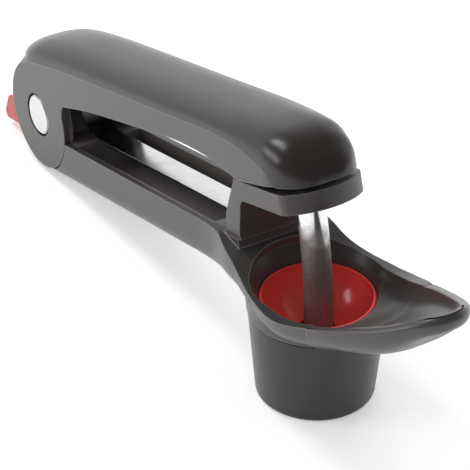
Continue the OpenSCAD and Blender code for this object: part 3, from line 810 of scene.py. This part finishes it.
    @staticmethod
    def _open_edge(piece: bpy.types.Object) -> list[tuple[Vector, Vector]]:
        """Finds the cut's outline.

        Args:
            piece: the cut skin.

        Returns:
            The outline's edges, as pairs of points in millimetres.
        """
        mesh = piece.data
        uses: dict[int, int] = {}
        for loop in mesh.loops:
            uses[loop.edge_index] = uses.get(loop.edge_index, 0) + 1
        return [(mesh.vertices[e.vertices[0]].co / MM, mesh.vertices[e.vertices[1]].co / MM)
                for e in mesh.edges if uses.get(e.index, 0) == 1]

    @staticmethod
    def _arc(start: Vector, first: Vector, second: Vector, end: Vector,
             count: int) -> list[Vector]:
        """Points of a cubic arc, without its last one.

        Args:
            start: first point.
            first: first handle.
            second: second handle.
            end: last point.
            count: how many points.

        Returns:
            The points.
        """
        points = []
        for k in range(count):
            t = k / count
            u = 1 - t
            points.append(start * u ** 3 + first * (3 * u * u * t) + second * (3 * u * t * t)
                          + end * t ** 3)
        return points

    def _section(self, row: RimRow, floor_rise: float, belly_rise: float) -> list[Vector]:
        """One section: spoon floor, lip and outside, from the middle and back to it.

        Args:
            row: sizes of the section.
            floor_rise: slope of the floor along the middle line.
            belly_rise: slope of the underside along the middle line.

        Returns:
            The section's points in millimetres.
        """
        base, keel = Vector((row.centre_x, 0, row.floor)), Vector((row.centre_x, 0, row.belly))
        edge = Vector((*row.inner, row.top - self.inner_roll))
        outer = Vector((*row.outer, row.top - row.drop))
        across = Vector((row.outer[0] - row.inner[0], row.outer[1] - row.inner[1], 0)).normalized()
        inward = Vector((row.inner[0] - row.centre_x, row.inner[1], 0))
        outward = Vector((row.outer[0] - row.centre_x, row.outer[1], 0))
        way, wall = inward.normalized(), math.radians(row.wall_deg)
        climb = way * math.cos(wall) + Vector((0, 0, math.sin(wall)))
        leave = (way + Vector((0, 0, floor_rise * way.x))) * (self.floor_lead * inward.length)
        points = self._arc(base, base + leave, edge - climb * (self.climb_lead * (edge.z - base.z)),
                           edge, self.floor_points)
        crest = edge + across * self.inner_roll + Vector((0, 0, self.inner_roll))
        points += self._arc(edge, edge + climb * (self.edge_lead * self.inner_roll),
                            crest - across * (self.crest_lead * self.inner_roll), crest,
                            self.edge_points)
        brow = outer - across * row.roll + Vector((0, 0, row.drop - self.crest_fall))
        points += self._arc(crest, crest.lerp(brow, self.flat_lead),
                            crest.lerp(brow, 1 - self.flat_lead), brow, self.flat_points)
        points += self._arc(brow, brow + across * (self.brow_lead * row.roll),
                            outer + Vector((0, 0, self.drop_lead * row.drop)), outer,
                            self.roll_points)
        down = Vector((0, 0, outer.z - keel.z)) * row.fullness
        arrive = (outward + Vector((0, 0, belly_rise * outward.x))) * row.fullness
        points += self._arc(outer, outer - down, keel + arrive, keel, self.wall_points)
        return [*points, keel]

    def _rises(self, centre_x: float) -> tuple[float, float]:
        """Slopes of the floor and the underside at a place on the middle line.

        Args:
            centre_x: the place.

        Returns:
            Slope of the floor, then of the underside.
        """
        pairs = list(zip(self.rows, self.rows[1:-1]))
        behind, ahead = next((pair for pair in pairs if centre_x < pair[1].centre_x - TINY),
                             pairs[-1])
        run = ahead.centre_x - behind.centre_x
        return (ahead.floor - behind.floor) / run, (ahead.belly - behind.belly) / run

    def _stations(self) -> list[list[Vector]]:
        """Sections from the cut on the +Y side, round the tip, to the cut on the other.

        Returns:
            The sections in order.
        """
        rows = [*self.rows, *(row.mirrored() for row in self.rows[-2::-1])]
        sizes = [row.values() for row in rows]
        along = [0.0]
        for a, b in zip(rows, rows[1:]):
            along.append(along[-1] + math.dist(a.outer, b.outer))

        def slope(k: int, column: int) -> float:
            """Change of one size along the rim at a row."""
            a, b = max(k - 1, 0), min(k + 1, len(rows) - 1)
            return (sizes[b][column] - sizes[a][column]) / (along[b] - along[a])

        def between(k: int, t: float, column: int) -> float:
            """One size between a row and the next.

            Args:
                k: the row.
                t: share of the way to the next row.
                column: which of the sizes.

            Returns:
                The size.
            """
            length = along[k + 1] - along[k]
            bend = t * t * (3 - 2 * t)
            leave = slope(k, column) * length * (t ** 3 - 2 * t * t + t)
            arrive = slope(k + 1, column) * length * (t ** 3 - t * t)
            return sizes[k][column] * (1 - bend) + sizes[k + 1][column] * bend + leave + arrive

        stops = []
        for k in range(len(rows) - 1):
            for step in range(self.steps_a_row):
                t = step / self.steps_a_row
                stops.append(RimRow.of([between(k, t, c) for c in range(len(sizes[0]))]))
        stops.append(rows[-1])
        return [self._section(stop, *self._rises(stop.centre_x)) for stop in stops]

    def _front(self, loop: list[tuple[Vector, Vector]]) -> bpy.types.Object:
        """Lays a grid over the sections, settled on the cut's outline.

        Args:
            loop: the cut's outline.

        Returns:
            The front of the spoon.
        """
        sections = self._stations()
        for order in (sections, sections[::-1]):
            shifts = [self._nearest(point, loop) - point for point in order[0]]
            for j in (0, -1):
                middle = Vector((0, 0, order[0][j].z))
                shifts[j] = Vector((0, 0, self._nearest(middle, loop).z - middle.z))
            for section in order[:len(order) // 2]:
                for j, shift in enumerate(shifts):
                    gone = (section[j].x - self.cut_x - self.gap) / self.settle
                    gone = min(max(gone, 0.0), 1.0)
                    fade = (1 - gone) ** 2 * (1 + 2 * gone)
                    section[j] = section[j] + Vector((0, shift.y, shift.z)) * fade
        across, around = len(sections[0]) - 1, len(sections) - 1
        bpy.ops.object.select_all(action="DESELECT")
        bpy.ops.mesh.primitive_grid_add(x_subdivisions=around, y_subdivisions=across, size=2.0)
        front = bpy.context.active_object
        for vertex in front.data.vertices:
            i = round((vertex.co.x + 1) / 2 * around)
            j = round((vertex.co.y + 1) / 2 * across)
            vertex.co = sections[i][j] * MM
        return front

    @staticmethod
    def _nearest(point: Vector, loop: list[tuple[Vector, Vector]]) -> Vector:
        """Closest point of an outline, compared in Y and Z.

        Args:
            point: the point to settle.
            loop: the outline's edges.

        Returns:
            The closest point.
        """
        flat = Vector((0, point.y, point.z))
        best, found = math.inf, point
        for a, b in loop:
            start, end = Vector((0, a.y, a.z)), Vector((0, b.y, b.z))
            run = end - start
            share = 0.0 if run.length < TINY else (flat - start).dot(run) / run.length_squared
            spot = start + run * min(max(share, 0.0), 1.0)
            if (spot - flat).length < best:
                best, found = (spot - flat).length, Vector((point.x, spot.y, spot.z))
        return found


@dataclass
class LowerHandle:
    """Channel handle with the spoon head, its bracket, spring and screws."""

    smooth_deg: float = 34.0
    lip: SpoonLip = field(default_factory=SpoonLip)

    def build(self, nodes: dict[str, bpy.types.Object]) -> list[bpy.types.Object]:
        """Builds and dresses every piece of the lower body.

        Args:
            nodes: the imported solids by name.

        Returns:
            The pieces.
        """
        body = "lower"
        moulding = Skin("lower_handle", "lower_handle_moulding", body, "handle_plastic", HANDLE,
                        self.smooth_deg)
        piece = moulding.merge(nodes)
        self.lip.shape(piece)
        moulding.dress(piece)
        rows = [
            Skin("guide_bracket", "guide_bracket_moulding", body, "dark_plastic", GUIDE),
            Skin("leaf_spring", "leaf_spring_strip", body, "spring_steel", SPRING_STEEL),
            Skin("bracket_screws", "bracket_screw_pair", body, "screw_steel", SCREW_STEEL),
            Skin("lock_screw", "lock_stop_screw", body, "screw_steel", SCREW_STEEL),
            Skin("hinge_washers", "hinge_washer_pair", body, "washer_plastic", ACETAL),
        ]
        return [piece, *(row.build(nodes) for row in rows)]


@dataclass
class FruitHead:
    """Red fruit seat, the ring that holds it and the pit cup."""

    smooth_deg: float = 34.0

    def build(self, nodes: dict[str, bpy.types.Object]) -> list[bpy.types.Object]:
        """Builds and dresses the seat, ring and cup.

        Args:
            nodes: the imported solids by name.

        Returns:
            The pieces.
        """
        rows = [
            Skin("fruit_seat", "fruit_seat_moulding", "lower", "red_gloss", SEAT_RED,
                 self.smooth_deg),
            Skin("seat_ring", "seat_ring_moulding", "lower", "inner_plastic", INNER),
            Skin("pit_cup", "pit_cup_moulding", "cup", "cup_plastic", CUP, self.smooth_deg),
        ]
        return [row.build(nodes) for row in rows]


@dataclass
class UpperHandle:
    """Cheeks, top cover and their screws."""

    smooth_deg: float = 34.0

    def build(self, nodes: dict[str, bpy.types.Object]) -> list[bpy.types.Object]:
        """Builds and dresses the handle that the palm presses.

        Args:
            nodes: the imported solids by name.

        Returns:
            The pieces.
        """
        body = "upper"
        rows = [
            Skin("upper_handle", "upper_handle_moulding", body, "handle_plastic", HANDLE),
            Skin("top_cover", "top_cover_moulding", body, "dark_plastic", COVER,
                 self.smooth_deg),
            Skin("cover_screws", "cover_screw_pair", body, "screw_steel", SCREW_STEEL),
        ]
        return [row.build(nodes) for row in rows]


@dataclass
class Plunger:
    """Curved rod, the block that clamps it in the nose, its pin and screws."""

    smooth_deg: float = 30.0

    def build(self, nodes: dict[str, bpy.types.Object]) -> list[bpy.types.Object]:
        """Builds and dresses the plunger group.

        Args:
            nodes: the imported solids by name.

        Returns:
            The pieces.
        """
        body = "upper"
        rows = [
            Skin("plunger_rod", "plunger_rod_polished", body, "rod_chrome", ROD_STEEL,
                 self.smooth_deg),
            Skin("rod_block", "rod_block_moulding", body, "inner_plastic", INNER),
            Skin("rod_pin", "rod_cross_pin", body, "screw_steel", SCREW_STEEL),
            Skin("block_screws", "block_screw_pair", body, "screw_steel", SCREW_STEEL),
        ]
        return [row.build(nodes) for row in rows]


@dataclass
class HingeAndLock:
    """Hinge pin with its cap, and the red lock slider."""

    smooth_deg: float = 34.0

    def build(self, nodes: dict[str, bpy.types.Object]) -> list[bpy.types.Object]:
        """Builds and dresses the pin, cap and slider.

        Args:
            nodes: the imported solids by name.

        Returns:
            The pieces.
        """
        rows = [
            Skin("hinge_pin", "hinge_pin_head", "upper", "pin_steel", PIN_STEEL,
                 self.smooth_deg),
            Skin("pin_cap", "hinge_pin_cap", "upper", "pin_steel", PIN_STEEL, self.smooth_deg),
            Skin("lock_slider", "lock_slider_moulding", "lock", "red_satin", TAB_RED,
                 self.smooth_deg),
        ]
        return [row.build(nodes) for row in rows]


@dataclass
class Softbox:
    """One studio lamp: a large soft rectangle."""

    name: str
    at: Triple
    aim: Triple
    size: tuple[float, float]
    watts: float
    mirrored: bool = True

    def build(self) -> bpy.types.Object:
        """Adds the lamp and turns it to its aim.

        Returns:
            The lamp.
        """
        data = bpy.data.lights.new(self.name, "AREA")
        data.shape = "RECTANGLE"
        data.size, data.size_y = self.size
        data.energy = self.watts
        lamp = bpy.data.objects.new(self.name, data)
        lamp.location = self.at
        way = Vector(self.aim) - Vector(self.at)
        lamp.rotation_euler = way.to_track_quat("-Z", "Y").to_euler()
        lamp.visible_glossy = self.mirrored
        bpy.context.scene.collection.objects.link(lamp)
        return lamp


@dataclass
class Studio:
    """White sweep, a bright wall behind the tool, and the camera of the photograph."""

    floor_half: float = 6.0
    floor_colour: Colour = (0.94, 0.94, 0.94)
    floor_glow: float = 0.34
    room: float = 0.62
    wall: float = 1.0
    wall_side: tuple[float, float] = (-0.87, 0.5)
    wall_ends: tuple[float, float] = (-0.25, 0.45)
    wall_heights: tuple[float, float] = (0.42, 0.86)
    overhead: float = 0.05
    camera_at: Triple = (0.42905, -0.28685, 0.39533)
    yaw_deg: float = 58.57
    pitch_deg: float = 34.05
    roll_deg: float = 0.41
    near: float = 0.01
    far: float = 50.0
    lamps: tuple[Softbox, ...] = field(default_factory=lambda: (
        Softbox("box_behind", (-0.70, -0.24, 1.18), (0.0, 0.0, 0.06), (0.36, 0.36), 4.6),
        Softbox("box_left", (-0.62, -1.15, 0.62), (0.0, 0.0, 0.03), (0.7, 0.5), 5.0),
        Softbox("box_back", (-0.9, 0.9, 1.2), (-0.02, 0.0, 0.03), (1.2, 0.8), 7.0,
                mirrored=False),
    ))

    def build(self) -> None:
        """Builds floor, world, lamps and camera."""
        self._floor()
        self._world()
        for lamp in self.lamps:
            lamp.build()
        self._camera()

    @staticmethod
    def _mirrored(graph: Graph) -> tuple[Wire, Wire]:
        """Masks of the rays that see the room.

        Args:
            graph: the graph to build in.

        Returns:
            Camera rays, then rays that bounce off or pass through something shiny.
        """
        rays = graph.node("ShaderNodeLightPath")
        shiny = (Wire(graph, rays.outputs["Is Glossy Ray"])
                 + Wire(graph, rays.outputs["Is Transmission Ray"])).clamped()
        return Wire(graph, rays.outputs["Is Camera Ray"]), shiny

    def _floor(self) -> None:
        """Adds the white paper that the tool stands on."""
        bpy.ops.object.select_all(action="DESELECT")
        bpy.ops.mesh.primitive_plane_add(size=2 * self.floor_half, location=(0, 0, 0))
        floor = bpy.context.active_object
        floor.name = "studio_floor"
        paper = bpy.data.materials.new("floor_paper")
        paper.use_nodes = True
        graph = Graph(paper.node_tree)
        camera, shiny = self._mirrored(graph)
        matt = graph.add("ShaderNodeBsdfDiffuse", None, {"Color": (*self.floor_colour, 1.0)})
        glow = graph.add("ShaderNodeEmission", None,
                         {"Color": (1, 1, 1, 1), "Strength": (camera + shiny) * self.floor_glow})
        both = graph.add("ShaderNodeAddShader", None, {0: matt, 1: glow})
        graph.node("ShaderNodeOutputMaterial", None, {"Surface": both})
        floor.data.materials.append(paper)

    def _world(self) -> None:
        """Lights the room: white to the eye, a bright wall behind in what is mirrored."""
        world = bpy.data.worlds.new("studio_room")
        bpy.context.scene.world = world
        world.use_nodes = True
        graph = Graph(world.node_tree)
        x, y, z = graph.split(graph.add("ShaderNodeTexCoord", out="Generated"))
        behind = graph.ease(x * self.wall_side[0] + y * self.wall_side[1], *self.wall_ends,
                            0.0, 1.0)
        low = graph.ease(z, *self.wall_heights, 1.0, 0.0)
        mirrored = self.overhead + behind * low * (self.wall - self.overhead)
        camera, shiny = self._mirrored(graph)
        plain = (1.0 - camera - shiny).clamped()
        lit = plain * self.room + camera + shiny * mirrored
        sky = graph.add("ShaderNodeBackground", None, {"Color": (1, 1, 1, 1), "Strength": lit})
        graph.node("ShaderNodeOutputWorld", None, {"Surface": sky})

    def _camera(self) -> None:
        """Places the camera that the photograph was taken with."""
        data = bpy.data.cameras.new("photo_camera")
        data.lens = FOCAL_PX / PICTURE_PX * SENSOR_WIDTH
        data.sensor_width = SENSOR_WIDTH
        data.clip_start, data.clip_end = self.near, self.far
        camera = bpy.data.objects.new("photo_camera", data)
        yaw, pitch, roll = (math.radians(a) for a in (self.yaw_deg, self.pitch_deg, self.roll_deg))
        ahead = Vector((-math.sin(yaw) * math.cos(pitch), math.cos(yaw) * math.cos(pitch),
                        -math.sin(pitch)))
        right = Vector((math.cos(yaw), math.sin(yaw), 0.0))
        up = right.cross(ahead)
        across = right * math.cos(roll) + up * math.sin(roll)
        upward = up * math.cos(roll) - right * math.sin(roll)
        turn = Matrix((across, upward, -ahead)).transposed().to_4x4()
        camera.matrix_world = Matrix.Translation(Vector(self.camera_at)) @ turn
        bpy.context.scene.collection.objects.link(camera)
        bpy.context.scene.camera = camera


def main() -> None:
    """Loads the frame, dresses each sub-assembly and sets up the studio."""
    logging.basicConfig(level=logging.INFO, format="%(message)s")
    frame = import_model()
    bpy.ops.object.select_all(action="DESELECT")
    nodes = frame["nodes"]
    for part in (LowerHandle(), FruitHead(), UpperHandle(), Plunger(), HingeAndLock()):
        made = part.build(nodes)
        LOG.info("%s: %d pieces", type(part).__name__, len(made))
    Studio().build()
    bpy.context.scene.view_settings.view_transform = "Standard"


if __name__ == "__main__":
    main()
